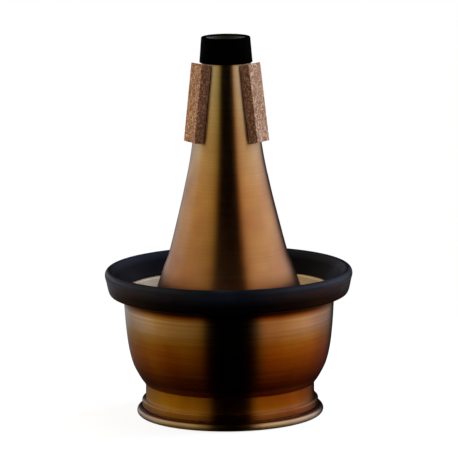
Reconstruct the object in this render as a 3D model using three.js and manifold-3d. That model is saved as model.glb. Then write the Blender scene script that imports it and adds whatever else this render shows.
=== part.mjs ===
// Trumpet cup mute: a spun straight mute with three corks, and a cup that slides and turns on it.
// Millimetres, +Z up along the mute's axis. The origin lies on the axis, in the plane that the mute
// stands on, and the front that the photograph shows faces -Y.

import * as THREE from "three";
import { mergeVertices } from "three/addons/utils/BufferGeometryUtils.js";
import Module from "manifold-3d";

// Sheet metal, fits and facets
const sheet = 0.6; // thickness of every spun shell
const fitGap = 0.3; // clearance between neighbouring pieces
const cutOverrun = 5; // how far a cutting body runs past what it cuts
const facetsRound = 48; // facets round the axis
const arcStep = THREE.MathUtils.degToRad(30); // step along the small rolled edges

// Straight mute: cone and barrel in one spun shell
const overallHeight = 184; // floor to the top of the tip sleeve
const tipRadius = 10.85; // outside of the cone's small end
const barrelRadius = 38.6; // outside of the straight barrel that carries the cup
const barrelTop = 50; // height where the barrel turns into the cone
const coneSteps = 12; // rings of the cone's flare
// Flare of the cone, from the barrel up to the small end: share of the height, share of the narrowing
const coneShares = [
  [0, 0],
  [0.038, 0.034],
  [0.096, 0.142],
  [0.172, 0.268],
  [0.225, 0.363],
  [0.343, 0.509],
  [0.461, 0.644],
  [0.608, 0.78],
  [0.914, 0.966],
  [1, 1],
];

// Base plate, with the edge rolled over the cone shell's flange as a bead
const beadRadius = 1.95; // outside radius of the rolled bead
const beadStep = 4.8; // how far the middle of the bead stands outside the barrel
const footHalfAngle = THREE.MathUtils.degToRad(25); // half the arc that is pressed flat to stand on
const beadEndAngle = THREE.MathUtils.degToRad(150); // where the rolled edge ends, over the flange
const plateRise = 3.4; // height of the step that lifts the plate inside the barrel
const plateStepWidth = 3; // radial width of that step
const plateCrown = 2; // further rise of the plate to its middle
// Point on the crowned plate between the step and the axis: share of the step's radius, share of the crown
const plateMidShares = [0.5, 0.75];

// Tip sleeve: a rubber boot over the small end
const sleeveLength = 12.2;
const sleeveWall = 0.7;
const sleeveEnd = 0.5; // thickness over the end of the cone
const sleeveLip = 0.5; // how far the sleeve stands inside the cone's bore
const sleeveRound = 0.5; // rounding of the top edge

// Corks: angles run anticlockwise from the front, as seen from above
const corkFrontAngle = THREE.MathUtils.degToRad(58.9); // from the front to each of the front strips
const corkTurn = THREE.MathUtils.degToRad(-1.75); // the set is turned a little to the left
const corkDrop = 0.5; // from the sleeve down to the strip's inner top edge
const corkLength = 37.6; // height of a strip
const corkWidth = 10.5;
const corkThickness = 4.05; // in the middle of the strip
const corkEndTilt = THREE.MathUtils.degToRad(12); // rise of the end faces, square to the sloping strip

// Grip ring between the barrel and the cup's collar
const gripThickness = 1.2;
const gripHeight = 9.2;
const gripInset = 0.7; // height of its lower edge over the collar's

// Cup: collar with a rolled lip, bowl and flared rim
const lipHeight = 3.7; // height of the hem under the neck
const lipWidth = 1.84; // how far the hem stands out beyond the neck
const lipRound = 0.8; // rounding of the hem's two outer edges
const neckHeight = 7.5; // from the hem to the bowl
const flangeRise = 3; // height of the collar's flange inside the bowl
const bowlHeight = 44.3; // from the neck to the flared rim
const bowlStep = 10.15; // how far the bowl stands out beyond the neck
const bowlSteps = 11; // rings of the bowl
const flareRise = 6.6; // height of the flared rim inside the bumper
const flareShare = 0.54; // its width, as a share of the bumper's
// Outside of the bowl, from the neck up to the rim: share of the height, share of the widening
const bowlShares = [
  [0, 0],
  [0.037, 0.131],
  [0.1035, 0.318],
  [0.2345, 0.5945],
  [0.424, 0.791],
  [0.679, 0.914],
  [1, 1],
];

// Rubber bumper round the rim
const bumperWidth = 8.85; // how far it stands out beyond the bowl
const bumperHeight = 12.3;
const bumperDrop = 0.5; // how far it hangs below the bend of the rim
const bumperLip = 1; // thickness of the lip inside the rim
const bumperLipStart = 0.9; // distance from the rim's bend to the lip's lower edge
const ridgeDrop = 0.7; // how far the inner face stops below the ridge
// Outside of the bumper, from its ridge down to its underside: share of the width, share of the height
const bumperShares = [
  [0.7, 0.98],
  [0.795, 1],
  [0.905, 0.955],
  [0.977, 0.87],
  [1, 0.775],
  [0.98, 0.68],
  [0.933, 0.56],
  [0.86, 0.305],
  [0.808, 0.158],
  [0.739, 0.056],
  [0.637, 0.008],
  [0.5, 0],
  [0, 0],
];

// Heights and radii that follow
const coneTop = overallHeight - sleeveEnd - fitGap;
const beadCentreRadius = barrelRadius + beadStep;
const beadCentreHeight = beadRadius * Math.cos(footHalfAngle);
const beadTop = beadCentreHeight + beadRadius;
const gripInnerRadius = barrelRadius + fitGap;
const gripOuterRadius = gripInnerRadius + gripThickness;
const neckInnerRadius = gripOuterRadius + fitGap;
const neckRadius = neckInnerRadius + sheet;
const lipBottom = beadTop + fitGap;
const lipTop = lipBottom + lipHeight;
const bowlBottom = lipTop + neckHeight;
const bowlTop = bowlBottom + bowlHeight;
const bowlRadius = neckRadius + bowlStep;
const bumperBottom = bowlTop - bumperDrop;
const bumperTop = bumperBottom + bumperHeight;

const wasm = await Module();
wasm.setup();

// Outlines: a point is (distance from the axis, height). A path runs with the open side on its left.

function point(radius, height) {
  return new THREE.Vector2(radius, height);
}

// Unit vector to the left of the way from a to b.
function leftOf(a, b) {
  return point(a.y - b.y, b.x - a.x).normalize();
}

// The path moved sideways, to its left where the distance is positive, with mitred corners.
function offsetPath(path, distance) {
  return path.map((p, i) => {
    const before = leftOf(path[Math.max(i - 1, 0)], path[Math.max(i, 1)]);
    const last = path.length - 1;
    const after = leftOf(path[Math.min(i, last - 1)], path[Math.min(i + 1, last)]);
    const middle = before.clone().add(after).normalize();
    return p.clone().addScaledVector(middle, distance / middle.dot(before));
  });
}

// Closed outline between two offsets of one path.
function band(path, leftDistance, rightDistance) {
  return [...offsetPath(path, leftDistance), ...offsetPath(path, -rightDistance).reverse()];
}

// Points along part of an ellipse, from one angle to another.
function arc(centre, radiusAcross, radiusUp, from, to) {
  const steps = Math.max(1, Math.round(Math.abs(to - from) / arcStep));
  return Array.from({ length: steps + 1 }, (_, i) => {
    const angle = from + ((to - from) * i) / steps;
    return point(centre.x + radiusAcross * Math.cos(angle), centre.y + radiusUp * Math.sin(angle));
  });
}

// Points on a smooth curve through a table of shares, which run from one corner point to another.
function curveThrough(shares, start, end, steps) {
  const through = shares.map(([up, across]) =>
    point(start.x + (end.x - start.x) * across, start.y + (end.y - start.y) * up),
  );
  return new THREE.SplineCurve(through).getPoints(steps);
}

// Where a path crosses a height, its distance from the axis.
function radiusAt(path, height) {
  const i = path.findIndex((p, n) => n > 0 && (p.y - height) * (path[n - 1].y - height) <= 0);
  const a = path[i - 1];
  const b = path[i];
  return a.x + ((b.x - a.x) * (height - a.y)) / (b.y - a.y);
}

// Solids

function toSolid(geometry) {
  const bare = geometry.clone();
  bare.deleteAttribute("normal");
  bare.deleteAttribute("uv");
  const merged = mergeVertices(bare);
  const mesh = new wasm.Mesh({
    numProp: 3,
    vertProperties: merged.attributes.position.array,
    triVerts: new Uint32Array(merged.index.array),
  });
  return new wasm.Manifold(mesh);
}

function toGeometry(solid) {
  const mesh = solid.getMesh();
  const geometry = new THREE.BufferGeometry();
  geometry.setAttribute("position", new THREE.BufferAttribute(mesh.vertProperties, 3));
  geometry.setIndex(new THREE.BufferAttribute(mesh.triVerts, 1));
  geometry.computeVertexNormals();
  return geometry;
}

// A closed outline turned round the Z axis. It may start and end on the axis instead.
function revolve(outline) {
  const turned = THREE.ShapeUtils.isClockWise(outline) ? [...outline].reverse() : outline;
  const onAxis = turned[0].x === 0 && turned.at(-1).x === 0;
  const closed = onAxis ? turned : [...turned, turned[0]];
  return new THREE.LatheGeometry(closed, facetsRound).rotateX(Math.PI / 2);
}

// The shell paths

// Outside of the straight mute: down the cone and the barrel, then out along the flange.
function conePath() {
  const flare = curveThrough(
    coneShares,
    point(barrelRadius, barrelTop),
    point(tipRadius, coneTop),
    coneSteps,
  ).reverse();
  const flangeTop = beadCentreHeight + sheet / 2;
  const beadRoom = beadRadius - sheet - fitGap;
  const flangeReach = Math.sqrt(beadRoom ** 2 - (sheet / 2) ** 2);
  return [
    ...flare,
    point(barrelRadius, flangeTop),
    point(beadCentreRadius + flangeReach, flangeTop),
  ];
}

// Outside of the bowl: from the edge of the flared rim, down to the neck and into the collar's hole.
function bowlPath() {
  const wall = curveThrough(
    bowlShares,
    point(neckRadius, bowlBottom),
    point(bowlRadius, bowlTop),
    bowlSteps,
  ).reverse();
  const rimEdge = point(bowlRadius + bumperWidth * flareShare, bowlTop + flareRise);
  const end = wall.at(-1);
  const intoHole = end.clone().sub(wall.at(-2)).setLength(2 * sheet);
  return [rimEdge, ...wall, end.clone().add(intoHole)];
}

// The sub-parts

function coneShell() {
  return revolve(band(conePath(), 0, sheet));
}

function basePlate() {
  const centre = point(beadCentreRadius, beadCentreHeight);
  const webBottom = beadCentreHeight - sheet / 2 - fitGap - sheet;
  const webAngle = Math.asin((beadCentreHeight - webBottom) / beadRadius) - Math.PI;
  const footAngle = -Math.PI / 2;
  const stepFoot = barrelRadius - sheet - fitGap - sheet;
  const stepTop = webBottom + plateRise;
  const path = [
    ...arc(centre, beadRadius, beadRadius, beadEndAngle, footAngle + footHalfAngle),
    ...arc(centre, beadRadius, beadRadius, footAngle - footHalfAngle, webAngle),
    point(stepFoot, webBottom),
    point(stepFoot - plateStepWidth, stepTop),
    point(stepFoot * plateMidShares[0], stepTop + plateCrown * plateMidShares[1]),
    point(0, stepTop + plateCrown),
  ];
  const inside = offsetPath(path, -sheet);
  inside.at(-1).x = 0;
  return revolve([...path.reverse(), ...inside]);
}

function tipSleeve() {
  const bottom = overallHeight - sleeveLength;
  const cone = conePath();
  const bottomRadius = radiusAt(cone, bottom) + fitGap;
  const topRadius = tipRadius + fitGap;
  const bore = tipRadius - sheet - sleeveLip;
  const shoulder = point(topRadius + sleeveWall - sleeveRound, overallHeight - sleeveRound);
  return revolve([
    point(bottomRadius, bottom),
    point(bottomRadius + sleeveWall, bottom),
    ...arc(shoulder, sleeveRound, sleeveRound, 0, Math.PI / 2),
    point(bore, overallHeight),
    point(bore, overallHeight - sleeveEnd),
    point(topRadius, overallHeight - sleeveEnd),
  ]);
}

// One cork strip: a straight slab with a sloping outer face, hollowed underneath to lie on the cone.
function cork(angle) {
  const cone = conePath();
  const top = overallHeight - sleeveLength - corkDrop;
  const bottom = top - corkLength;
  const topSeat = radiusAt(cone, top) + fitGap;
  const bottomSeat = radiusAt(cone, bottom) + fitGap;
  const endSlope = Math.tan(corkEndTilt);
  const side = new THREE.Shape([
    point(0, bottom - bottomSeat * endSlope),
    point(bottomSeat + corkThickness, bottom + corkThickness * endSlope),
    point(topSeat + corkThickness, top + corkThickness * endSlope),
    point(0, top - topSeat * endSlope),
  ]);
  const slab = new THREE.ExtrudeGeometry(side, { depth: corkWidth, bevelEnabled: false })
    .translate(0, 0, -corkWidth / 2)
    .rotateX(Math.PI / 2)
    .rotateZ(angle - Math.PI / 2);
  const surface = offsetPath(cone, fitGap);
  const core = [
    point(0, coneTop + cutOverrun),
    point(surface[0].x, coneTop + cutOverrun),
    ...surface,
    point(0, surface.at(-1).y),
  ];
  return toGeometry(toSolid(slab).subtract(toSolid(revolve(core))));
}

function gripRing() {
  const bottom = lipBottom + gripInset;
  return revolve([
    point(gripInnerRadius, bottom),
    point(gripOuterRadius, bottom),
    point(gripOuterRadius, bottom + gripHeight),
    point(gripInnerRadius, bottom + gripHeight),
  ]);
}

// Collar: the neck with its lower edge folded up outside as a flat hem, and a flange that lies inside
// the bowl.
function cupCollar() {
  const shoulder = neckRadius + lipWidth - lipRound;
  const overBowl = offsetPath(bowlPath(), -(sheet + fitGap + sheet));
  const bendHeight = bowlBottom + sheet + fitGap + sheet;
  const flange = overBowl.filter((p) => p.y > bendHeight && p.y < bendHeight + flangeRise);
  const flangeTop = bendHeight + flangeRise;
  return revolve(
    band(
      [
        point(neckRadius + fitGap, lipTop),
        ...arc(point(shoulder, lipTop - lipRound), lipRound, lipRound, Math.PI / 2, 0),
        ...arc(point(shoulder, lipBottom + lipRound), lipRound, lipRound, 0, -Math.PI / 2),
        point(neckInnerRadius, lipBottom + sheet),
        point(neckInnerRadius, bendHeight),
        ...flange.reverse(),
        point(radiusAt(overBowl, flangeTop), flangeTop),
      ],
      0,
      sheet,
    ),
  );
}

// Bowl: cut off round the collar's neck.
function cupBowl() {
  const hole = [
    point(0, bowlBottom - cutOverrun),
    point(neckRadius + fitGap, bowlBottom - cutOverrun),
    point(neckRadius + fitGap, bowlBottom + cutOverrun),
    point(0, bowlBottom + cutOverrun),
  ];
  const shell = toSolid(revolve(band(bowlPath(), 0, sheet)));
  return toGeometry(shell.subtract(toSolid(revolve(hole))));
}

// Bumper: its section lies round the flared rim, which sits in a slot.
function rimBumper() {
  const [rimEdge, rimBend] = bowlPath();
  const along = rimEdge.clone().sub(rimBend).normalize();
  const inward = leftOf(rimBend, rimEdge);
  const lipStart = rimBend.clone().addScaledVector(along, bumperLipStart);
  const lipFoot = lipStart.clone().addScaledVector(inward, sheet / 2);
  const lipEdge = lipStart.clone().addScaledVector(inward, sheet + fitGap + bumperLip);
  const faceTop = bumperTop - ridgeDrop;
  const face = point(lipEdge.x + ((faceTop - lipEdge.y) * along.x) / along.y, faceTop);
  const outside = bumperShares.map(([across, up]) =>
    point(bowlRadius + bumperWidth * across, bumperBottom + bumperHeight * up),
  );
  const section = toSolid(revolve([lipFoot, lipEdge, face, ...outside]));
  const slotPath = bowlPath();
  slotPath[0].addScaledVector(along, fitGap);
  return toGeometry(section.subtract(toSolid(revolve(band(slotPath, fitGap, sheet + fitGap)))));
}

// Finishes

const outerBronze = { color: 0x9a6a3c, roughness: 0.34, metalness: 1 };
const paleBronze = { color: 0xb9a583, roughness: 0.42, metalness: 1 };
const blackRubber = { color: 0x1b1b1e, roughness: 0.55, metalness: 0 };
const tipRubber = { color: 0x0d0d0e, roughness: 0.35, metalness: 0 };
const corkBrown = { color: 0x9a7355, roughness: 0.95, metalness: 0 };
const gripFelt = { color: 0x2a2724, roughness: 1, metalness: 0 };

function piece(name, geometry, finish) {
  const mesh = new THREE.Mesh(geometry, new THREE.MeshStandardMaterial(finish));
  mesh.name = name;
  return mesh;
}

// Assembly

const muteBody = new THREE.Group();
muteBody.add(piece("cone_shell", coneShell(), outerBronze));
muteBody.add(piece("base_plate", basePlate(), outerBronze));
muteBody.add(piece("tip_sleeve", tipSleeve(), tipRubber));
muteBody.add(piece("cork_right", cork(corkFrontAngle + corkTurn), corkBrown));
muteBody.add(piece("cork_left", cork(-corkFrontAngle + corkTurn), corkBrown));
muteBody.add(piece("cork_back", cork(Math.PI + corkTurn), corkBrown));

const cup = new THREE.Group();
cup.add(piece("grip_ring", gripRing(), gripFelt));
cup.add(piece("cup_collar", cupCollar(), outerBronze));
cup.add(piece("cup_bowl", cupBowl(), paleBronze));
cup.add(piece("rim_bumper", rimBumper(), blackRubber));

const mute = new THREE.Group();
mute.add(muteBody, cup);

export default mute;
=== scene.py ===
import math

import bpy
from mathutils import Matrix, Vector, noise


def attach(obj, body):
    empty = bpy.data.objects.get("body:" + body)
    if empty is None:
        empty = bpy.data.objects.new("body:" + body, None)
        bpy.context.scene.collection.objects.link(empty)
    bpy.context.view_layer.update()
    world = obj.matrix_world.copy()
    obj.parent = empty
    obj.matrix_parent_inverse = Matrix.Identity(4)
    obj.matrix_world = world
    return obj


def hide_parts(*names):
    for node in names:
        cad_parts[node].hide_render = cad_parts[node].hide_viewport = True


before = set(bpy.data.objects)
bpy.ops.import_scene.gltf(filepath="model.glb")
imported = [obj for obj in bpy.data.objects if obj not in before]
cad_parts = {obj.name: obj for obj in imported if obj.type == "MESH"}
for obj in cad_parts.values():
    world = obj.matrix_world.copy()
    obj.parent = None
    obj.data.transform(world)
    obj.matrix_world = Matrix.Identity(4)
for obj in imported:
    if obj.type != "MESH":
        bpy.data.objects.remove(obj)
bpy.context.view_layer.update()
print("frame loaded,", len(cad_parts), "CAD nodes")

mm = 0.001
nearly = 1e-6  # mm, what is closer than this counts as touching
scene = bpy.context.scene
scene.view_settings.view_transform = "Standard"

# the camera stands in front, a little above the mute
cameraSetup = {
    "place": (0.0, -1.840, 0.415),  # metres
    "aim": (0.00045, 0.0, 0.0903),
    "lens": 303.7,
    "sensor": 36.0,
    "lean": -0.72,  # degrees, the picture leans a little to the left
}


def aimAt(item, place, aim, lean=0.0):
    look = (Vector(aim) - Vector(place)).to_track_quat("-Z", "Y").to_matrix()
    turned = look @ Matrix.Rotation(math.radians(lean), 3, "Z")
    item.matrix_world = Matrix.Translation(place) @ turned.to_4x4()


cameraData = bpy.data.cameras.new("camera")
cameraData.lens = cameraSetup["lens"]
cameraData.sensor_width = cameraSetup["sensor"]
camera = bpy.data.objects.new("camera", cameraData)
scene.collection.objects.link(camera)
aimAt(camera, cameraSetup["place"], cameraSetup["aim"], cameraSetup["lean"])
scene.camera = camera
print("camera placed")


def linear(hexColour):
    parts = [int(hexColour[i:i + 2], 16) / 255 for i in (1, 3, 5)]
    return [p / 12.92 if p <= 0.04045 else ((p + 0.055) / 1.055) ** 2.4 for p in parts] + [1.0]


def addNode(tree, kind, settings={}, links={}):
    node = tree.nodes.new(kind)
    for name, value in settings.items():
        if name == "stops":  # colour stops of a ramp: (position, hex colour)
            stops = node.color_ramp.elements
            stops.remove(stops[1])
            for i, (position, colour) in enumerate(value):
                stop = stops[0] if i == 0 else stops.new(position)
                stop.position = position
                stop.color = linear(colour)
        elif isinstance(name, str) and hasattr(node, name):
            setattr(node, name, value)
        else:
            node.inputs[name].default_value = value
    for name, socket in links.items():
        tree.links.new(socket, node.inputs[name])
    return node


def newMaterial(name):
    material = bpy.data.materials.new(name)
    material.use_nodes = True
    material.node_tree.nodes.clear()
    return material, material.node_tree


def spread(middle, reach):
    # settings for a Map Range node that turns noise into values round a middle
    return {"From Min": 0.3, "From Max": 0.7, "To Min": middle - reach, "To Max": middle + reach}


def leftOf(a, b):
    return Vector((a.y - b.y, b.x - a.x)).normalized()


def offsetPath(path, distance):
    # the path moved to its left, with mitred corners
    last = len(path) - 1
    moved = []
    for i, p in enumerate(path):
        before = leftOf(path[max(i - 1, 0)], path[max(i, 1)])
        after = leftOf(path[min(i, last - 1)], path[min(i + 1, last)])
        middle = (before + after).normalized()
        moved.append(p + middle * (distance / middle.dot(before)))
    return moved


def band(path, leftDistance, rightDistance):
    return offsetPath(path, leftDistance) + offsetPath(path, -rightDistance)[::-1]


def arc(centre, across, up, start, end, step=9):
    # part of an ellipse, angles in degrees
    steps = max(1, round(abs(end - start) / step))
    angles = [math.radians(start + (end - start) * i / steps) for i in range(steps + 1)]
    return [Vector((centre[0] + across * math.cos(a), centre[1] + up * math.sin(a)))
            for a in angles]


def curveThrough(through, steps):
    # smooth curve through a list of points
    last = len(through) - 1
    points = []
    for n in range(steps + 1):
        place = last * n / steps
        i = min(int(place), last - 1)
        t = place - i
        p0, p1 = through[max(i - 1, 0)], through[i]
        p2, p3 = through[i + 1], through[min(i + 2, last)]
        leave, arrive = (p2 - p0) / 2, (p3 - p1) / 2
        points.append(
            p1 * (2 * t**3 - 3 * t**2 + 1)
            + leave * (t**3 - 2 * t**2 + t)
            + p2 * (3 * t**2 - 2 * t**3)
            + arrive * (t**3 - t**2)
        )
    return points


def radiusAt(path, height):
    for a, b in zip(path, path[1:]):
        if (a.y - height) * (b.y - height) <= 0 and a.y != b.y:
            return a.x + (b.x - a.x) * (height - a.y) / (b.y - a.y)
    return path[-1].x


def easeCorners(outline, radius, sharperThan=24, steps=3):
    # rounds those corners of a closed outline that turn by more than sharperThan degrees
    sharpest, share = 2.6, 0.45  # radians that count at most; most of a side that a curve takes
    eased = []
    for i, corner in enumerate(outline):
        before = outline[i - 1] - corner
        after = outline[(i + 1) % len(outline)] - corner
        turn = math.pi - before.angle(after)
        if corner.x < nearly or turn < math.radians(sharperThan):
            eased.append(corner)
            continue
        reach = min(radius * math.tan(min(turn, sharpest) / 2),
                    share * min(before.length, after.length))
        start = corner + before.normalized() * reach
        end = corner + after.normalized() * reach
        for k in range(steps + 1):
            t = k / steps
            eased.append(start * (1 - t) ** 2 + corner * (2 * t * (1 - t)) + end * t**2)
    return eased


def finishMesh(name, mesh, materials, body, node, sharpAngle=40):
    # edges that turn by more than sharpAngle degrees stay sharp
    mesh.shade_smooth()
    mesh.set_sharp_from_angle(angle=math.radians(sharpAngle))
    for material in materials:
        mesh.materials.append(material)
    piece = bpy.data.objects.new(name, mesh)
    scene.collection.objects.link(piece)
    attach(piece, body)
    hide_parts(node)
    print("made", name, "with", len(mesh.polygons), "faces")
    return piece


def turnOnLathe(name, outline, linedInside=False, facets=192):
    # a closed outline turned round the axis; the UV map "section" holds the turn and the metres
    # run along the outline. With linedInside, faces that look at the axis take the second material
    area = sum(a.x * b.y - b.x * a.y for a, b in zip(outline, outline[1:] + outline[:1]))
    if area < 0:
        outline = outline[::-1]
    vertices, rings = [], []
    for p in outline:
        if p.x < nearly:  # a point on the axis
            rings.append([len(vertices)] * (facets + 1))
            vertices.append((0.0, 0.0, p.y * mm))
            continue
        first = len(vertices)
        for k in range(facets):
            angle = 2 * math.pi * k / facets
            vertices.append((p.x * mm * math.cos(angle), p.x * mm * math.sin(angle), p.y * mm))
        rings.append([first + k % facets for k in range(facets + 1)])
    faces, uvs, outward = [], [], []
    run = 0.0
    for i, p in enumerate(outline):
        q = outline[(i + 1) % len(outline)]
        here, there = rings[i], rings[(i + 1) % len(outline)]
        step = (q - p).length * mm
        if p.x >= nearly or q.x >= nearly:
            away = Vector((q.y - p.y, p.x - q.x)).normalized()
            for k in range(facets):
                corners = [
                    (here[k], k, run),
                    (here[k + 1], k + 1, run),
                    (there[k + 1], k + 1, run + step),
                    (there[k], k, run + step),
                ]
                if p.x < nearly:
                    corners.pop(1)
                elif q.x < nearly:
                    corners.pop(2)
                faces.append([c[0] for c in corners])
                uvs.extend((c[1] / facets, c[2]) for c in corners)
                outward.append(away)
        run += step
    mesh = bpy.data.meshes.new(name)
    mesh.from_pydata(vertices, [], faces)
    section = mesh.uv_layers.new(name="section")
    section.data.foreach_set("uv", [part for uv in uvs for part in uv])
    if linedInside:
        lean = -0.05  # faces that point inwards by more than this count
        mesh.polygons.foreach_set("material_index", [int(way.x < lean) for way in outward])
    return mesh


# Cast of the metal: spun from sheet bronze, turned to a satin finish on the lathe with fine grit,
# antiqued and clear lacquered. The grooves run round the axis, so reflections are sharp across the
# piece and drawn out up and down it, and the lacquer browns the metal.
bronzeTurning = {
    "roughness": 0.40,
    "roughnessSpread": 0.04,
    "anisotropic": 0.95,
    "lineSpacing": 0.55,  # mm; the real grit lines are about 0.1 mm apart and wouldn't show
    "lineArc": 55.0,  # mm that a line runs round before it fades
    "lineDepth": 0.012,
    "lineShade": 0.07,
    "blotch": 16.0,  # mm, clouds in the antiquing
    "blotchShade": 0.10,
    "blotchHue": 0.008,  # share of the colour circle
    "coat": 0.06,
    "coatRoughness": 0.25,
    "metal": 1.0,
    "paintedRedSide": (4.0, 24.0),  # mm to the right of the axis between which the colour turns redder: a painted reflection of the orange light on that side
    "paintedRedShift": 0.0,  # share of the colour circle
    "paintedRedShade": 0.0,  # how much darker it is there: painted shade
}
# the cup was turned with coarser grit, so its lines show more
cupTurning = dict(bronzeTurning, roughness=0.34, anisotropic=1.0, lineSpacing=0.7, lineArc=80.0,
                  lineShade=0.18, paintedRedSide=(30.0, 48.0), paintedRedShift=-0.02)
# the neck, as the cup, is painted redder on one side, and darker there too: painted reflection and
# shade of the light on that side
collarTurning = dict(bronzeTurning, roughness=0.37, anisotropic=1.0, paintedRedShift=-0.026,
                     paintedRedShade=0.22)
# inside the cup and the cone the metal is left raw and dull; inside the cup it is pale and a little
# oxidised
rawTurning = dict(bronzeTurning, roughness=0.55, anisotropic=0.4, metal=0.5, coat=0.0)


def turnedBronze(name, look, stops):
    # stops are (height in mm, colour) up the piece
    low, high = stops[0][0], stops[-1][0]
    material, tree = newMaterial(name)
    place = addNode(tree, "ShaderNodeTexCoord").outputs["Object"]
    spot = addNode(tree, "ShaderNodeSeparateXYZ", links={"Vector": place})
    section = addNode(tree, "ShaderNodeUVMap", {"uv_map": "section"})
    along = addNode(tree, "ShaderNodeSeparateXYZ", links={"Vector": section.outputs["UV"]})
    slow = 1 / (look["lineArc"] * mm)
    arcX, arcY = [addNode(tree, "ShaderNodeMath", {"operation": "MULTIPLY", 1: slow},
                          {0: spot.outputs[way]}) for way in ("X", "Y")]
    quick = addNode(tree, "ShaderNodeMath",
                    {"operation": "MULTIPLY", 1: 1 / (look["lineSpacing"] * mm)},
                    {0: along.outputs["Y"]})
    stretched = addNode(tree, "ShaderNodeCombineXYZ",
                        links={"X": arcX.outputs[0], "Y": arcY.outputs[0], "Z": quick.outputs[0]})
    lines = addNode(tree, "ShaderNodeTexNoise", {"Scale": 1.0, "Detail": 3.0, "Roughness": 0.6},
                    {"Vector": stretched.outputs[0]})
    clouds = addNode(tree, "ShaderNodeTexNoise",
                     {"Scale": 1 / (look["blotch"] * mm), "Detail": 2.0}, {"Vector": place})
    height = addNode(tree, "ShaderNodeMapRange", {"From Min": low * mm, "From Max": high * mm},
                     {"Value": spot.outputs["Z"]})
    tone = addNode(tree, "ShaderNodeValToRGB",
                   {"stops": [((h - low) / (high - low), colour) for h, colour in stops]},
                   {"Fac": height.outputs[0]})
    lineShade = addNode(tree, "ShaderNodeMapRange", spread(1, look["lineShade"]),
                        {"Value": lines.outputs["Fac"]})
    cloudShade = addNode(tree, "ShaderNodeMapRange", spread(1, look["blotchShade"]),
                         {"Value": clouds.outputs["Fac"]})
    cloudHue = addNode(tree, "ShaderNodeMapRange", spread(0.5, look["blotchHue"]),
                       {"Value": clouds.outputs["Fac"]})
    # painted reflection and shade: redder and darker to one side of the axis
    paintedRedSide = {"From Min": look["paintedRedSide"][0] * mm, "From Max": look["paintedRedSide"][1] * mm}
    redder = addNode(tree, "ShaderNodeMapRange", {**paintedRedSide, "To Max": look["paintedRedShift"]},
                     {"Value": spot.outputs["X"]})
    darker = addNode(tree, "ShaderNodeMapRange",
                     {**paintedRedSide, "To Min": 1.0, "To Max": 1 - look["paintedRedShade"]},
                     {"Value": spot.outputs["X"]})
    hue = addNode(tree, "ShaderNodeMath", {"operation": "ADD"},
                  {0: cloudHue.outputs[0], 1: redder.outputs[0]})
    uneven = addNode(tree, "ShaderNodeMath", {"operation": "MULTIPLY"},
                     {0: lineShade.outputs[0], 1: cloudShade.outputs[0]})
    shade = addNode(tree, "ShaderNodeMath", {"operation": "MULTIPLY"},
                    {0: uneven.outputs[0], 1: darker.outputs[0]})
    colour = addNode(tree, "ShaderNodeHueSaturation", links={
        "Color": tone.outputs["Color"], "Value": shade.outputs[0], "Hue": hue.outputs[0]})
    rough = addNode(tree, "ShaderNodeMapRange",
                    spread(look["roughness"], look["roughnessSpread"]),
                    {"Value": lines.outputs["Fac"]})
    groove = addNode(tree, "ShaderNodeBump", {"Strength": 1.0, "Distance": look["lineDepth"] * mm},
                     {"Height": lines.outputs["Fac"]})
    around = addNode(tree, "ShaderNodeTangent", {"direction_type": "RADIAL", "axis": "Z"})
    surface = addNode(tree, "ShaderNodeBsdfPrincipled",
                      {"Metallic": look["metal"], "Anisotropic": look["anisotropic"],
                       "Anisotropic Rotation": 0.25,  # a quarter turn: drawn out up and down
                       "Coat Weight": look["coat"], "Coat Roughness": look["coatRoughness"]},
                      {"Base Color": colour.outputs[0], "Roughness": rough.outputs[0],
                       "Normal": groove.outputs[0], "Tangent": around.outputs[0]})
    addNode(tree, "ShaderNodeOutputMaterial", links={"Surface": surface.outputs[0]})
    return material


# Moulded rubber: dense black EPDM, satin from the mould. Its upper outer edge is paler in patches,
# a bloom of fine dust together with painted light where the top faces the lamps, and has a higher
# specular level, partly rubbed and partly a painted highlight. The edge's limits are the height
# plus the distance from the axis, in mm.
bumperLook = {
    "deep": "#010101",
    "dustAndLight": "#17181b",
    "dustAndLightFrom": 122.0,
    "dustAndLightTo": 128.8,
    "dustPatch": 9.0,  # mm
    "grain": 0.35,  # mm
    "grainDepth": 0.02,
    "roughness": 0.38,
    "roughnessSpread": 0.06,
    "specular": 0.11,
    "wornAndHighlight": 0.36,  # the specular level on the upper outer edge: partly rubbed, partly a painted highlight
    # glint tints the rubber's reflections blue: a painted tint standing in for bluish light on the
    # right
    "glint": "#b4caff",
}
# the sleeve is duller, the same all over, and holds next to no dust
sleeveLook = dict(bumperLook, deep="#000000", dustAndLight="#010101", dustAndLightFrom=184.0, dustAndLightTo=196.0,
                  roughness=0.55, specular=0.01, wornAndHighlight=0.01, glint="#ffffff")


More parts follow.
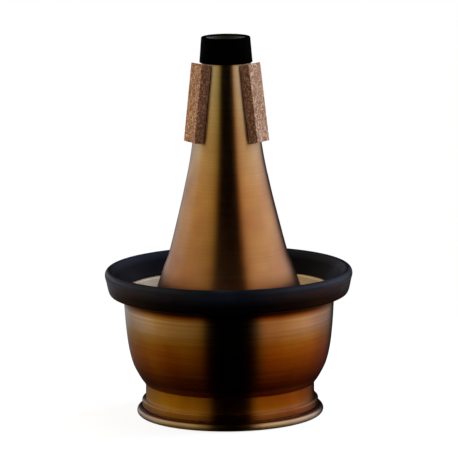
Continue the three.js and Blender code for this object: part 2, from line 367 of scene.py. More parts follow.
def mouldedRubber(name, look):
    material, tree = newMaterial(name)
    place = addNode(tree, "ShaderNodeTexCoord").outputs["Object"]
    grain = addNode(tree, "ShaderNodeTexNoise",
                    {"Scale": 1 / (look["grain"] * mm), "Detail": 2.0}, {"Vector": place})
    dust = addNode(tree, "ShaderNodeTexNoise",
                   {"Scale": 1 / (look["dustPatch"] * mm), "Detail": 4.0}, {"Vector": place})
    flat = addNode(tree, "ShaderNodeVectorMath", {"operation": "MULTIPLY", 1: (1, 1, 0)},
                   {0: place})
    distance = addNode(tree, "ShaderNodeVectorMath", {"operation": "LENGTH"}, {0: flat.outputs[0]})
    spot = addNode(tree, "ShaderNodeSeparateXYZ", links={"Vector": place})
    both = addNode(tree, "ShaderNodeMath", {"operation": "ADD"},
                   {0: distance.outputs["Value"], 1: spot.outputs["Z"]})
    # painted light and dust: the upper outer edge turns paler and shinier
    level = addNode(tree, "ShaderNodeMapRange",
                    {"From Min": look["dustAndLightFrom"] * mm, "From Max": look["dustAndLightTo"] * mm},
                    {"Value": both.outputs[0]})
    dustAndLightShare = addNode(tree, "ShaderNodeMath", {"operation": "MULTIPLY"},
                      {0: level.outputs[0], 1: dust.outputs["Fac"]})
    colour = addNode(tree, "ShaderNodeMix",
                     {"data_type": "RGBA", 6: linear(look["deep"]), 7: linear(look["dustAndLight"])},
                     {0: dustAndLightShare.outputs[0]})
    rough = addNode(tree, "ShaderNodeMapRange",
                    spread(look["roughness"], look["roughnessSpread"]),
                    {"Value": dust.outputs["Fac"]})
    bump = addNode(tree, "ShaderNodeBump", {"Strength": 0.4, "Distance": look["grainDepth"] * mm},
                   {"Height": grain.outputs["Fac"]})
    surface = addNode(tree, "ShaderNodeBsdfPrincipled",
                      {"IOR": 1.5, "Specular IOR Level": look["specular"],
                       "Specular Tint": linear(look["glint"])},
                      {"Base Color": colour.outputs[2], "Roughness": rough.outputs[0],
                       "Normal": bump.outputs[0]})
    if look["wornAndHighlight"] != look["specular"]:
        shine = addNode(tree, "ShaderNodeMapRange",
                        {"To Min": look["specular"], "To Max": look["wornAndHighlight"]},
                        {"Value": level.outputs[0]})
        tree.links.new(shine.outputs[0], surface.inputs["Specular IOR Level"])
    addNode(tree, "ShaderNodeOutputMaterial", links={"Surface": surface.outputs[0]})
    return material


# Composition cork: granules of about half a millimetre pressed with a brown binder, sawn and
# sanded. Light and dark grains side by side, pores at the grain edges, no gloss.
corkLook = {
    "granule": 0.5,  # mm
    "stretch": 1.5,  # the granules lie a little along the strip
    "bend": (2.0, 0.6),  # mm, size and reach of the waves that bend the granules' edges
    "speck": 0.35,  # mm, finer grain within a granule
    "speckShare": 0.45,
    "joint": 0.06,  # share of a granule that its dark edge takes up
    "relief": 0.12,  # mm
    "dark": "#50301c",
    "middle": "#7c5639",
    "light": "#a88460",
    "binder": "#442818",
}
# the sides are darker and redder: painted shade, as they face away from the side lamps
corkSideLook = dict(corkLook, dark="#482411", middle="#6c4225", light="#946844", binder="#381b0b")


def groundCork(name, look):
    material, tree = newMaterial(name)
    place = addNode(tree, "ShaderNodeTexCoord").outputs["Object"]
    bendSize, bendReach = look["bend"]
    wobble = addNode(tree, "ShaderNodeTexNoise", {"Scale": 1 / (bendSize * mm), "Detail": 2.0},
                     {"Vector": place})
    push = addNode(tree, "ShaderNodeVectorMath",
                   {"operation": "MULTIPLY_ADD", 1: (bendReach * mm,) * 3},
                   {0: wobble.outputs["Color"], 2: place})
    stretched = addNode(tree, "ShaderNodeVectorMath",
                        {"operation": "MULTIPLY", 1: (1, 1, 1 / look["stretch"])},
                        {0: push.outputs[0]})
    grains = addNode(tree, "ShaderNodeTexVoronoi", {"Scale": 1 / (look["granule"] * mm)},
                     {"Vector": stretched.outputs[0]})
    chance = addNode(tree, "ShaderNodeSeparateColor", links={"Color": grains.outputs["Color"]})
    fine = addNode(tree, "ShaderNodeTexNoise", {"Scale": 1 / (look["speck"] * mm), "Detail": 3.0},
                   {"Vector": place})
    mixed = addNode(tree, "ShaderNodeMath", {"operation": "MULTIPLY_ADD", 1: look["speckShare"]},
                    {0: fine.outputs["Fac"], 2: chance.outputs[0]})
    tone = addNode(tree, "ShaderNodeValToRGB",
                   {"stops": [(0.26, look["dark"]), (0.42, look["middle"]), (0.88, look["middle"]),
                              (1.0, look["light"])]},
                   {"Fac": mixed.outputs[0]})
    edge = addNode(tree, "ShaderNodeTexVoronoi",
                   {"feature": "DISTANCE_TO_EDGE", "Scale": 1 / (look["granule"] * mm)},
                   {"Vector": stretched.outputs[0]})
    joint = addNode(tree, "ShaderNodeMapRange", {"From Max": look["joint"]},
                    {"Value": edge.outputs["Distance"]})
    colour = addNode(tree, "ShaderNodeMix", {"data_type": "RGBA", 6: linear(look["binder"])},
                     {0: joint.outputs[0], 7: tone.outputs["Color"]})
    relief = addNode(tree, "ShaderNodeMath", {"operation": "MULTIPLY_ADD", 1: 0.5},
                     {0: fine.outputs["Fac"], 2: joint.outputs[0]})
    bump = addNode(tree, "ShaderNodeBump", {"Strength": 0.6, "Distance": look["relief"] * mm},
                   {"Height": relief.outputs[0]})
    surface = addNode(tree, "ShaderNodeBsdfPrincipled",
                      {"Roughness": 0.92, "Specular IOR Level": 0.25},
                      {"Base Color": colour.outputs[2], "Normal": bump.outputs[0]})
    addNode(tree, "ShaderNodeOutputMaterial", links={"Surface": surface.outputs[0]})
    return material


# Pressed wool felt: dull, dark and a little fuzzy, with short fibres lying every way.
feltLook = {"fibre": 0.5, "fuzz": 0.1, "dark": "#171412", "light": "#37302a"}  # sizes in mm


def pressedFelt(name, look):
    material, tree = newMaterial(name)
    place = addNode(tree, "ShaderNodeTexCoord").outputs["Object"]
    fibres = addNode(tree, "ShaderNodeTexNoise",
                     {"Scale": 1 / (look["fibre"] * mm), "Detail": 5.0, "Distortion": 1.5},
                     {"Vector": place})
    colour = addNode(tree, "ShaderNodeValToRGB",
                     {"stops": [(0.3, look["dark"]), (0.7, look["light"])]},
                     {"Fac": fibres.outputs["Fac"]})
    bump = addNode(tree, "ShaderNodeBump", {"Strength": 0.5, "Distance": look["fuzz"] * mm},
                   {"Height": fibres.outputs["Fac"]})
    surface = addNode(tree, "ShaderNodeBsdfPrincipled",
                      {"Roughness": 1.0, "Specular IOR Level": 0.1, "Sheen Weight": 0.3,
                       "Sheen Roughness": 0.5},
                      {"Base Color": colour.outputs["Color"], "Normal": bump.outputs[0]})
    addNode(tree, "ShaderNodeOutputMaterial", links={"Surface": surface.outputs[0]})
    return material


# the tones up each piece: (height in mm, colour); where noted below, their bands are painted light
# and shade
# the cone is dark from 54 to 65 mm, where its foot stands in the cup: painted shade and reflection
# of the cup's dark inside
coneTones = [(0, "#dca87c"), (50, "#dca87c"), (54, "#6c3c20"), (63, "#5c2e16"), (65, "#8a5634"),
             (67.5, "#c88f64"), (72, "#e2aa7e"), (110, "#eab784"), (146, "#f0dcb8"),
             (164, "#f8f0e4"), (184, "#f8f4ec")]
# the top of the bead, from 3.4 mm up, is dark: painted shade under the hem of the collar
plateTones = [(0, "#f0d8b8"), (3.05, "#f0d8b8"), (3.4, "#8c5438"), (3.72, "#5c2c18"),
              (5, "#5c2c18")]
# the paler band just above the hem, 7.7 to 8.2 mm, is a painted highlight
collarTones = [(4, "#cc9248"), (7.3, "#cc9248"), (7.7, "#dcae6a"), (8.2, "#dcb062"),
               (9.6, "#e2a226"), (16, "#d29022"), (20, "#8a4410")]
# Up the cup the tones run from dark red-brown at the bottom to pale tan at 53.4 mm, a painted
# reflection of the shaded table below and the bright room above; from 56 mm up it is nearly black,
# a painted shadow under the bumper.
cupTones = [(14, "#8f4918"), (18.2, "#8f4918"), (19.6, "#7a3e0e"), (22, "#86420e"),
            (34, "#a86c16"), (40, "#b07c22"), (44, "#bc984e"), (48, "#ccb490"),
            (53.4, "#dcc49e"), (55.0, "#b48440"), (56.1, "#6c4410"), (57.0, "#381c06"),
            (57.8, "#200e04"), (66, "#200e04")]
insideTones = [(0, "#d6bc90"), (184, "#d6bc90")]
# the inside of the cone is a dark grey: painted shade down the bore
boreTones = [(0, "#74716a"), (184, "#74716a")]

coneBronze = turnedBronze("spunBronzeCone", bronzeTurning, coneTones)
plateBronze = turnedBronze("spunBronzePlate", bronzeTurning, plateTones)
collarBronze = turnedBronze("spunBronzeCollar", collarTurning, collarTones)
cupBronze = turnedBronze("spunBronzeCup", cupTurning, cupTones)
paleBronze = turnedBronze("spunBronzeInside", rawTurning, insideTones)
greyBronze = turnedBronze("spunBronzeBore", rawTurning, boreTones)
bumperRubber = mouldedRubber("mouldedRubberBumper", bumperLook)
sleeveRubber = mouldedRubber("mouldedRubberSleeve", sleeveLook)
cork = groundCork("sandedCork", corkLook)
shadedCorkSide = groundCork("shadedCorkSide", corkSideLook)
felt = pressedFelt("pressedFelt", feltLook)
print("materials made")

sheetMetal = {"thickness": 0.6, "fit": 0.3, "edge": 0.2}  # edge is the rounding of a cut edge

cone = {
    "top": 183.2,
    "tipRadius": 10.85,
    "barrelRadius": 38.6,
    "barrelTop": 50.0,
    "beadRadius": 1.95,
    "beadCentre": (43.4, 1.7673),
    "steps": 72,
    "flare": [  # share of the height, share of the narrowing, from the barrel up
        (0, 0), (0.038, 0.034), (0.096, 0.142), (0.172, 0.268), (0.225, 0.363), (0.343, 0.509),
        (0.461, 0.644), (0.608, 0.78), (0.914, 0.966), (1, 1),
    ],
}


def coneOutside():
    # down the flare and the barrel, then out along the flange that the base plate is rolled over
    rise = cone["top"] - cone["barrelTop"]
    draw = cone["tipRadius"] - cone["barrelRadius"]
    through = [Vector((cone["barrelRadius"] + draw * across, cone["barrelTop"] + rise * up))
               for up, across in cone["flare"]]
    half = sheetMetal["thickness"] / 2
    room = cone["beadRadius"] - sheetMetal["thickness"] - sheetMetal["fit"]
    reach = math.sqrt(room**2 - half**2)
    flangeTop = cone["beadCentre"][1] + half
    return curveThrough(through, cone["steps"])[::-1] + [
        Vector((cone["barrelRadius"], flangeTop)),
        Vector((cone["beadCentre"][0] + reach, flangeTop)),
    ]


conePath = coneOutside()
outline = easeCorners(band(conePath, 0, sheetMetal["thickness"]), sheetMetal["edge"])
mesh = turnOnLathe("coneShell", outline, linedInside=True)
finishMesh("coneShell", mesh, [coneBronze, greyBronze], "mute_body", "cone_shell")

basePlate = {
    "plateRise": 3.4,
    "stepWidth": 3.0,
    "crown": 2.0,
    "crownMiddle": (0.5, 0.75),  # share of the radius, share of the crown halfway in
    "foot": 25,  # degrees, half the arc that is pressed flat
    "rollEnd": 150,
}


def basePlateOutline():
    radius, centre = cone["beadRadius"], cone["beadCentre"]
    sheet, fit = sheetMetal["thickness"], sheetMetal["fit"]
    webBottom = centre[1] - sheet / 2 - fit - sheet
    webAngle = math.degrees(math.asin((centre[1] - webBottom) / radius)) - 180
    stepFoot = cone["barrelRadius"] - sheet - fit - sheet
    stepTop = webBottom + basePlate["plateRise"]
    foot = basePlate["foot"]
    across, up = basePlate["crownMiddle"]
    path = arc(centre, radius, radius, basePlate["rollEnd"], -90 + foot)
    path += arc(centre, radius, radius, -90 - foot, webAngle)
    path += [
        Vector((stepFoot, webBottom)),
        Vector((stepFoot - basePlate["stepWidth"], stepTop)),
        Vector((stepFoot * across, stepTop + basePlate["crown"] * up)),
        Vector((0, stepTop + basePlate["crown"])),
    ]
    inside = offsetPath(path, -sheet)
    inside[-1].x = 0
    return easeCorners(path[::-1] + inside, sheetMetal["edge"])


mesh = turnOnLathe("basePlate", basePlateOutline())
finishMesh("basePlate", mesh, [plateBronze], "mute_body", "base_plate")

tipSleeve = {"top": 184.0, "length": 12.2, "wall": 0.7, "end": 0.5, "lip": 0.5, "round": 0.5,
             "edge": 0.15}


def tipSleeveOutline():
    bottom = tipSleeve["top"] - tipSleeve["length"]
    bottomRadius = radiusAt(conePath, bottom) + sheetMetal["fit"]
    topRadius = cone["tipRadius"] + sheetMetal["fit"]
    bore = cone["tipRadius"] - sheetMetal["thickness"] - tipSleeve["lip"]
    under = tipSleeve["top"] - tipSleeve["end"]
    curl = tipSleeve["round"]
    outline = [Vector((bottomRadius, bottom)), Vector((bottomRadius + tipSleeve["wall"], bottom))]
    outline += arc((topRadius + tipSleeve["wall"] - curl, tipSleeve["top"] - curl), curl, curl,
                   0, 90)
    outline += [Vector((bore, tipSleeve["top"])), Vector((bore, under)), Vector((topRadius, under))]
    return easeCorners(outline, tipSleeve["edge"])


mesh = turnOnLathe("tipSleeve", tipSleeveOutline())
finishMesh("tipSleeve", mesh, [sleeveRubber], "mute_body", "tip_sleeve")
print("cone, base plate and sleeve made")

corkStrip = {
    "angles": {"right": 57.15, "back": 178.25, "left": 299.35},  # degrees, from the front
    "top": 171.3,
    "length": 37.6,
    "width": 10.5,
    "thickness": 4.05,
    "endTilt": 12.0,  # degrees, the ends are cut square to the sloping strip
    "edge": 0.22,  # rounding of the sanded edges
    "crumble": 0.09,  # how deep the surface is pitted
    "pit": 0.8,  # mm
    "finerPits": (2.1, 0.5),  # how much finer the second layer of pits is, and its share
    "cells": (30, 10, 104),
}


def corkMesh(name, angle):
    # a block of cells whose inner side lies on the cone, with worn edges and a pitted surface
    top, width = corkStrip["top"], corkStrip["width"]
    bottom = top - corkStrip["length"]
    surface = offsetPath(conePath, sheetMetal["fit"])
    reach = sheetMetal["fit"] + corkStrip["thickness"]
    topFace, bottomFace = radiusAt(conePath, top) + reach, radiusAt(conePath, bottom) + reach
    nAcross, nDeep, nUp = corkStrip["cells"]
    outward = Vector((math.sin(angle), -math.cos(angle), 0))
    across = Vector((math.cos(angle), math.sin(angle), 0))
    edge = corkStrip["edge"]
    finer, finerShare = corkStrip["finerPits"]
    endSlope = math.tan(math.radians(corkStrip["endTilt"]))
    index, vertices = {}, []

    def vertexAt(i, j, k):
        if (i, j, k) in index:
            return index[i, j, k]
        side = width * (i / nAcross - 0.5)
        height = bottom + corkStrip["length"] * k / nUp
        face = bottomFace + (topFace - bottomFace) * k / nUp
        middle = radiusAt(surface, height)
        seat = math.sqrt(middle**2 - side**2)
        deep = seat + (face - seat) * j / nDeep
        inner = Vector((
            min(max(side, -width / 2 + edge), width / 2 - edge),
            min(max(deep, seat + edge), face - edge),
            min(max(height, bottom + edge), top - edge),
        ))
        off = Vector((side, deep, height)) - inner
        lift = (deep - middle) * endSlope
        if off.length > nearly:
            spot = (across * side + outward * deep + Vector((0, 0, height))) / corkStrip["pit"]
            pit = max(noise.noise(spot), 0) + finerShare * max(noise.noise(spot * finer), 0)
            pitted = 0 if j == 0 else corkStrip["crumble"] * pit
            off = off.normalized() * (edge - pitted)
        point = inner + off + Vector((0, 0, lift))
        index[i, j, k] = len(vertices)
        vertices.append((across * point.x + outward * point.y + Vector((0, 0, point.z))) * mm)
        return index[i, j, k]

    faces = []
    for i in range(nAcross):
        for k in range(nUp):
            for j, turned in ((0, True), (nDeep, False)):
                ring = [(i, j, k), (i + 1, j, k), (i + 1, j, k + 1), (i, j, k + 1)]
                faces.append([vertexAt(*c) for c in (ring[::-1] if turned else ring)])
    for j in range(nDeep):
        for k in range(nUp):
            for i, turned in ((0, False), (nAcross, True)):
                ring = [(i, j, k), (i, j + 1, k), (i, j + 1, k + 1), (i, j, k + 1)]
                faces.append([vertexAt(*c) for c in (ring[::-1] if turned else ring)])
    for i in range(nAcross):
        for j in range(nDeep):
            for k, turned in ((0, False), (nUp, True)):
                ring = [(i, j, k), (i + 1, j, k), (i + 1, j + 1, k), (i, j + 1, k)]
                faces.append([vertexAt(*c) for c in (ring[::-1] if turned else ring)])
    mesh = bpy.data.meshes.new(name)
    mesh.from_pydata(vertices, [], faces)
    # the sides take the cork with painted shade, the face and the ends the plain cork
    finishes = [0] * (2 * nAcross * nUp) + [1] * (2 * nDeep * nUp) + [0] * (2 * nAcross * nDeep)
    mesh.polygons.foreach_set("material_index", finishes)
    return mesh


for sideName, degrees in corkStrip["angles"].items():
    mesh = corkMesh("cork." + sideName, math.radians(degrees))
    finishMesh("cork." + sideName, mesh, [cork, shadedCorkSide], "mute_body", "cork_" + sideName,
               sharpAngle=60)

gripRing = {"inner": 38.9, "outer": 40.1, "bottom": 4.717, "height": 9.2, "edge": 0.4}


def gripRingOutline():
    low, high = gripRing["bottom"], gripRing["bottom"] + gripRing["height"]
    corners = [(gripRing["inner"], low), (gripRing["outer"], low), (gripRing["outer"], high),
               (gripRing["inner"], high)]
    return easeCorners([Vector(c) for c in corners], gripRing["edge"])


mesh = turnOnLathe("gripRing", gripRingOutline())
finishMesh("gripRing", mesh, [felt], "grip", "grip_ring")
print("corks and grip ring made")

bumper = {
    "width": 8.85,
    "height": 12.3,
    "bottom": 59.017,
    "lip": 1.0,
    "lipStart": 0.9,
    "ridgeDrop": 0.7,
    "edge": 0.5,
    "steps": 60,
    "shares": [  # outside, from the ridge down: share of the width, share of the height
        (0.7, 0.98), (0.795, 1), (0.905, 0.955), (0.977, 0.87), (1, 0.775), (0.98, 0.68),
        (0.933, 0.56), (0.86, 0.305), (0.808, 0.158), (0.739, 0.056), (0.637, 0.008), (0.5, 0),
        (0, 0),
    ],
}

bowl = {
    "neckRadius": 41.0,
    "bottom": 15.217,
    "radius": 51.15,
    "top": 59.517,
    "rimWidth": 0.54,  # share of the bumper's width
    "rimRise": 6.6,
    "steps": 66,
    "shares": [  # outside, from the neck up: share of the height, share of the widening
        (0, 0), (0.037, 0.131), (0.1035, 0.318), (0.2345, 0.5945), (0.424, 0.791), (0.679, 0.914),
        (1, 1),
    ],
}


def bowlOutside():
    # from the edge of the flared rim down to the neck, and on into the hole
    widen, rise = bowl["radius"] - bowl["neckRadius"], bowl["top"] - bowl["bottom"]
    through = [Vector((bowl["neckRadius"] + widen * across, bowl["bottom"] + rise * up))
               for up, across in bowl["shares"]]
    wall = curveThrough(through, bowl["steps"])[::-1]
    rim = Vector((bowl["radius"] + bumper["width"] * bowl["rimWidth"],
                  bowl["top"] + bowl["rimRise"]))
    into = (wall[-1] - wall[-2]).normalized() * (2 * sheetMetal["thickness"])
    return [rim] + wall + [wall[-1] + into]


def clipInside(outline, radius):
    # leaves what lies outside a radius
    kept = []
    for a, b in zip(outline, outline[1:] + outline[:1]):
        if a.x >= radius:
            kept.append(a)
        if (a.x - radius) * (b.x - radius) < 0:
            kept.append(a.lerp(b, (radius - a.x) / (b.x - a.x)))
    return kept


bowlPath = bowlOutside()
outline = clipInside(band(bowlPath, 0, sheetMetal["thickness"]),
                     bowl["neckRadius"] + sheetMetal["fit"])
mesh = turnOnLathe("cupBowl", easeCorners(outline, sheetMetal["edge"]), linedInside=True)
finishMesh("cupBowl", mesh, [cupBronze, paleBronze], "cup", "cup_bowl")

collar = {"lipBottom": 4.017, "lipHeight": 3.7, "lipWidth": 1.84, "lipRound": 0.8,
          "flangeRise": 3.0}


def collarOutline():
    # flat hem under the neck, neck, and the flange that lies inside the bowl
    sheet, fit = sheetMetal["thickness"], sheetMetal["fit"]
    neck, low, curl = bowl["neckRadius"], collar["lipBottom"], collar["lipRound"]
    inner = neck - sheet
    shoulder = neck + collar["lipWidth"] - curl
    overBowl = offsetPath(bowlPath, -(sheet + fit + sheet))
    bend = bowl["bottom"] + sheet + fit + sheet
    flangeTop = bend + collar["flangeRise"]
    flange = [p for p in overBowl if bend < p.y < flangeTop]
    path = [Vector((neck + fit, low + collar["lipHeight"]))]
    path += arc((shoulder, low + collar["lipHeight"] - curl), curl, curl, 90, 0, step=15)
    path += arc((shoulder, low + curl), curl, curl, 0, -90, step=15)
    path += [Vector((inner, low + sheet)), Vector((inner, bend))]
    path += flange[::-1] + [Vector((radiusAt(overBowl, flangeTop), flangeTop))]
    return easeCorners(band(path, 0, sheet), sheetMetal["edge"], sharperThan=50)


mesh = turnOnLathe("cupCollar", collarOutline())
finishMesh("cupCollar", mesh, [collarBronze], "cup", "cup_collar")


def crossing(a, b, c, d):
    # where line a-b meets line c-d
    ab, cd, ac = b - a, d - c, c - a
    t = (ac.x * cd.y - ac.y * cd.x) / (ab.x * cd.y - ab.y * cd.x)
    return a + ab * t


def bumperOutline():
    # the section lies round the flared rim, which sits in a slot
    sheet, fit = sheetMetal["thickness"], sheetMetal["fit"]
    rim, bend, below = bowlPath[0], bowlPath[1], bowlPath[2]
    along = (rim - bend).normalized()
    inward = leftOf(bend, rim)
    lipStart = bend + along * bumper["lipStart"]
    lipEdge = lipStart + inward * (sheet + fit + bumper["lip"])
    lipFoot = lipStart + inward * (sheet + fit)
    faceTop = bumper["bottom"] + bumper["height"] - bumper["ridgeDrop"]
    face = Vector((lipEdge.x + (faceTop - lipEdge.y) * along.x / along.y, faceTop))
    corners = [Vector((bowl["radius"] + bumper["width"] * across,
                       bumper["bottom"] + bumper["height"] * up))
               for across, up in bumper["shares"]]
    underside = corners[-1]
    outside = curveThrough(corners[:-1], bumper["steps"])
    slotOut, slotIn = [offsetPath([rim + along * fit, bend, below], d) for d in (fit, -sheet - fit)]
    slotFoot = crossing(outside[-1], underside, slotOut[1], slotOut[2])
    outline = [lipEdge, face] + outside + [slotFoot, slotOut[1], slotOut[0], slotIn[0], lipFoot]
    return easeCorners(outline, bumper["edge"], sharperThan=20, steps=4)


mesh = turnOnLathe("rimBumper", bumperOutline())
finishMesh("rimBumper", mesh, [bumperRubber], "cup", "rim_bumper")
print("cup made")

studio = {
    "floor": "#f2f2f0",
    "floorSize": 12.0,
    "shadow": (0.055, 0.30),  # metres from the axis between which the shadow fades into white
    "shadowShare": 0.15,
    "fill": 0.10,  # level of the white room on dull surfaces
    "lampAim": (0.0, 0.0, 0.1),
}


def seenDirectly(tree):
    # 1 for what the camera sees, and what shows in metal or through glass
    rays = addNode(tree, "ShaderNodeLightPath")
    either = addNode(tree, "ShaderNodeMath", {"operation": "MAXIMUM"},
                     {0: rays.outputs["Is Camera Ray"], 1: rays.outputs["Is Glossy Ray"]})
    return addNode(tree, "ShaderNodeMath", {"operation": "MAXIMUM"},
                   {0: either.outputs[0], 1: rays.outputs["Is Transmission Ray"]}).outputs[0]


world = bpy.data.worlds.new("whiteRoom")
world.use_nodes = True
world.node_tree.nodes.clear()
seen = seenDirectly(world.node_tree)
level = addNode(world.node_tree, "ShaderNodeMapRange", {"To Min": studio["fill"], "To Max": 1.0},
                {"Value": seen})
sky = addNode(world.node_tree, "ShaderNodeBackground", {"Color": linear("#ffffff")},
              {"Strength": level.outputs[0]})
addNode(world.node_tree, "ShaderNodeOutputWorld", links={"Surface": sky.outputs[0]})
scene.world = world

floorPaper, tree = newMaterial("paperSweep")  # white background paper
place = addNode(tree, "ShaderNodeTexCoord").outputs["Object"]
flat = addNode(tree, "ShaderNodeVectorMath", {"operation": "MULTIPLY", 1: (1, 1, 0)}, {0: place})
distance = addNode(tree, "ShaderNodeVectorMath", {"operation": "LENGTH"}, {0: flat.outputs[0]})
fade = addNode(tree, "ShaderNodeMapRange",
               {"interpolation_type": "SMOOTHSTEP", "From Min": studio["shadow"][0],
                "From Max": studio["shadow"][1], "To Min": 1 - studio["shadowShare"]},
               {"Value": distance.outputs["Value"]})
white = addNode(tree, "ShaderNodeMath", {"operation": "MULTIPLY"},
                {0: fade.outputs[0], 1: seenDirectly(tree)})
paper = addNode(tree, "ShaderNodeBsdfDiffuse", {"Color": linear(studio["floor"])})
glow = addNode(tree, "ShaderNodeEmission", {"Color": linear("#ffffff"), "Strength": 1.0})
mixed = addNode(tree, "ShaderNodeMixShader",
                links={0: white.outputs[0], 1: paper.outputs[0], 2: glow.outputs[0]})
addNode(tree, "ShaderNodeOutputMaterial", links={"Surface": mixed.outputs[0]})

half = studio["floorSize"] / 2
floorMesh = bpy.data.meshes.new("floor")
floorMesh.from_pydata([(-half, -half, 0), (half, -half, 0), (half, half, 0), (-half, half, 0)], [],
                      [(0, 1, 2, 3)])
floorMesh.materials.append(floorPaper)
floor = bpy.data.objects.new("floor", floorMesh)
scene.collection.objects.link(floor)

# Cards round the mute that only show in its reflections: a black strip runs from the lens over the
# top to the back, warm paper stands on both sides, whiter where it turns towards the back, and a
# golden board lies round the foot. Their colours run round from the back, in degrees over the
# left to the front.
cards = {
    "radius": 1.2,  # metres
    "boardHeight": 0.0002,  # metres over the floor
    "above": [
        (0, "#1a1917"), (14, "#24221f"), (26, "#696262"), (38, "#928174"), (52, "#b7a07c"),
        (70, "#d0be9c"), (120, "#d4c49c"), (138, "#c0b28a"), (149, "#aa9d60"), (155, "#74663a"),
        (160, "#000000"), (204, "#000000"), (207, "#aa7632"), (213, "#e2d0b0"), (224, "#e9dac8"),
        (240, "#f2e6d2"), (298, "#fff2ea"), (312, "#cec2cc"), (324, "#9e9db0"), (336, "#686a7d"),
        (348, "#24221f"), (360, "#1a1917"),
    ],
    "level": [
        (0, "#1a1917"), (12, "#24221f"), (24, "#e6eaff"), (75, "#f0f4ff"), (92, "#e0d094"),
        (114, "#b08614"), (133, "#b08c1c"), (149, "#a07a26"), (153, "#785822"), (156, "#000000"),
        (209, "#000000"), (212, "#a0601a"), (220, "#b47c12"), (238, "#c09a0c"), (259, "#e8dcbe"),
        (283, "#fff4ee"), (306, "#f4f0f4"), (318, "#bcb4b4"), (330, "#3e2e26"), (342, "#24221f"),
        (360, "#1a1917"),
    ],
    "under": [
        (0, "#1a1917"), (24, "#20160e"), (60, "#8c5a2c"), (100, "#c8925c"), (130, "#8c4e28"),
        (149, "#7c3c18"), (154, "#743e0c"), (157, "#000000"), (208, "#000000"), (211, "#984812"),
        (219, "#e0741c"), (236, "#ec843c"), (262, "#f8a05c"), (284, "#a85022"), (302, "#742809"),
        (322, "#20100a"), (360, "#1a1917"),
    ],
    "aboveStart": (0.10, 0.40),  # sine of the height angle between which level turns into above
    "sheetStart": (0.0, 0.12),  # the same, between which the sheets brighten
    "low": 0.15,  # level under the sheets
    "underEnd": (0.16, 0.30),  # metres from the axis between which under turns into level
    # the board is dark close to the foot: a painted shadow of the mute on the table
    "boardLevel": [  # metres from the axis: level
        (0.044, "#080808"), (0.085, "#404040"), (0.130, "#ffffff"), (0.200, "#ffffff"),
        (0.320, "#909090"),
    ],
}


def cardTone(tree, place, low, high, reach, ends):
    # the colour round the mute, running from low to high as reach goes from one end to the other
    spot = addNode(tree, "ShaderNodeSeparateXYZ", links={"Vector": place})
    # turned about the left-right axis, so that the strips run over the top
    upright = addNode(tree, "ShaderNodeVectorMath", {"operation": "MULTIPLY", 1: (0, 1, 1)},
                      {0: place})
    far = addNode(tree, "ShaderNodeVectorMath", {"operation": "LENGTH"}, {0: upright.outputs[0]})
    side = addNode(tree, "ShaderNodeMath", {"operation": "SIGN"}, {0: spot.outputs["Y"]})
    back = addNode(tree, "ShaderNodeMath", {"operation": "MULTIPLY"},
                   {0: side.outputs[0], 1: far.outputs["Value"]})
    # 0 at the back, a quarter at the left, a half in front
    turn = addNode(tree, "ShaderNodeMath", {"operation": "ARCTAN2"},
                   {0: spot.outputs["X"], 1: back.outputs[0]})
    share = addNode(tree, "ShaderNodeMath", {"operation": "MULTIPLY", 1: -1 / (2 * math.pi)},
                    {0: turn.outputs[0]})
    wrapped = addNode(tree, "ShaderNodeMath", {"operation": "FRACT"}, {0: share.outputs[0]})
    first, second = [addNode(tree, "ShaderNodeValToRGB",
                             {"stops": [(d / 360, c) for d, c in stops]},
                             {"Fac": wrapped.outputs[0]}) for stops in (low, high)]
    between = addNode(tree, "ShaderNodeMapRange",
                      {"interpolation_type": "SMOOTHSTEP", "From Min": ends[0],
                       "From Max": ends[1]}, {"Value": reach})
    return addNode(tree, "ShaderNodeMix", {"data_type": "RGBA"},
                   {0: between.outputs[0], 6: first.outputs["Color"],
                    7: second.outputs["Color"]}).outputs[2]


def reflectionOnly(item):
    scene.collection.objects.link(item)
    item.visible_camera = False
    item.visible_diffuse = False
    item.visible_transmission = False
    item.visible_volume_scatter = False
    item.visible_shadow = False


sheetCards, tree = newMaterial("sheetCards")
place = addNode(tree, "ShaderNodeTexCoord").outputs["Object"]
ray = addNode(tree, "ShaderNodeVectorMath", {"operation": "NORMALIZE"}, {0: place})
rise = addNode(tree, "ShaderNodeSeparateXYZ", links={"Vector": ray.outputs[0]})
level = addNode(tree, "ShaderNodeMapRange",
                {"interpolation_type": "SMOOTHSTEP", "From Min": cards["sheetStart"][0],
                 "From Max": cards["sheetStart"][1], "To Min": cards["low"], "To Max": 1.0},
                {"Value": rise.outputs["Z"]})
tone = cardTone(tree, place, cards["level"], cards["above"], rise.outputs["Z"], cards["aboveStart"])
glow = addNode(tree, "ShaderNodeEmission", links={"Color": tone, "Strength": level.outputs[0]})
addNode(tree, "ShaderNodeOutputMaterial", links={"Surface": glow.outputs[0]})

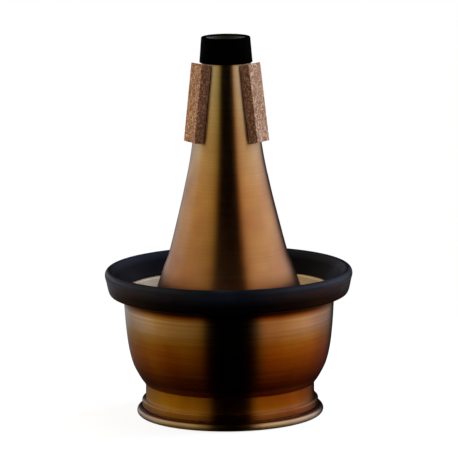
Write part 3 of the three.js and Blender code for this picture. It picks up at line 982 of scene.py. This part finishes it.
paleBoard, tree = newMaterial("paleBoard")
place = addNode(tree, "ShaderNodeTexCoord").outputs["Object"]
distance = addNode(tree, "ShaderNodeVectorMath", {"operation": "LENGTH"}, {0: place})
share = addNode(tree, "ShaderNodeMath", {"operation": "MULTIPLY", 1: 1 / cards["radius"]},
                {0: distance.outputs["Value"]})
level = addNode(tree, "ShaderNodeValToRGB",
                {"stops": [(d / cards["radius"], c) for d, c in cards["boardLevel"]]},
                {"Fac": share.outputs[0]})
tone = cardTone(tree, place, cards["under"], cards["level"], distance.outputs["Value"],
                cards["underEnd"])
glow = addNode(tree, "ShaderNodeEmission",
               links={"Color": tone, "Strength": level.outputs["Color"]})
addNode(tree, "ShaderNodeOutputMaterial", links={"Surface": glow.outputs[0]})

# the dome reaches under the table, where nothing sees it
segments, rings = 48, 24
ball = [(math.sin(math.pi * j / rings), math.cos(math.pi * j / rings)) for j in range(rings + 1)]
domeMesh = bpy.data.meshes.new("cardDome")
domeMesh.from_pydata(
    [(cards["radius"] * across * math.cos(2 * math.pi * k / segments),
      cards["radius"] * across * math.sin(2 * math.pi * k / segments), cards["radius"] * up)
     for across, up in ball[1:-1] for k in range(segments)], [],
    [(j * segments + k, j * segments + (k + 1) % segments,
      (j + 1) * segments + (k + 1) % segments, (j + 1) * segments + k)
     for j in range(rings - 2) for k in range(segments)]
    + [list(range(segments)), list(range((rings - 2) * segments, (rings - 1) * segments))[::-1]])
domeMesh.materials.append(sheetCards)
reflectionOnly(bpy.data.objects.new("cardDome", domeMesh))
boardMesh = bpy.data.meshes.new("cardBoard")
boardMesh.from_pydata([(x * cards["radius"], y * cards["radius"], cards["boardHeight"])
                       for x, y in ((-1, -1), (1, -1), (1, 1), (-1, 1))], [], [(0, 1, 2, 3)])
boardMesh.materials.append(paleBoard)
reflectionOnly(bpy.data.objects.new("cardBoard", boardMesh))

lamps = {
    "left": {"place": (-0.95, 0.3, 0.7), "size": (0.7, 1.1), "watts": 19.0, "colour": "#fff5ec"},
    "right": {"place": (0.95, 0.3, 0.7), "size": (0.7, 1.1), "watts": 52.0, "colour": "#bcd0ff"},
    "top": {"place": (0.0, 0.1, 1.3), "size": (0.9, 0.9), "watts": 10.0, "colour": "#ffffff"},
}
for lampName, setup in lamps.items():
    lampData = bpy.data.lights.new("softbox." + lampName, "AREA")
    lampData.shape = "RECTANGLE"
    lampData.size, lampData.size_y = setup["size"]
    lampData.energy = setup["watts"]
    lampData.color = linear(setup["colour"])[:3]
    lamp = bpy.data.objects.new("softbox." + lampName, lampData)
    scene.collection.objects.link(lamp)
    aimAt(lamp, setup["place"], studio["lampAim"])
    lamp.visible_glossy = False
print("studio set")
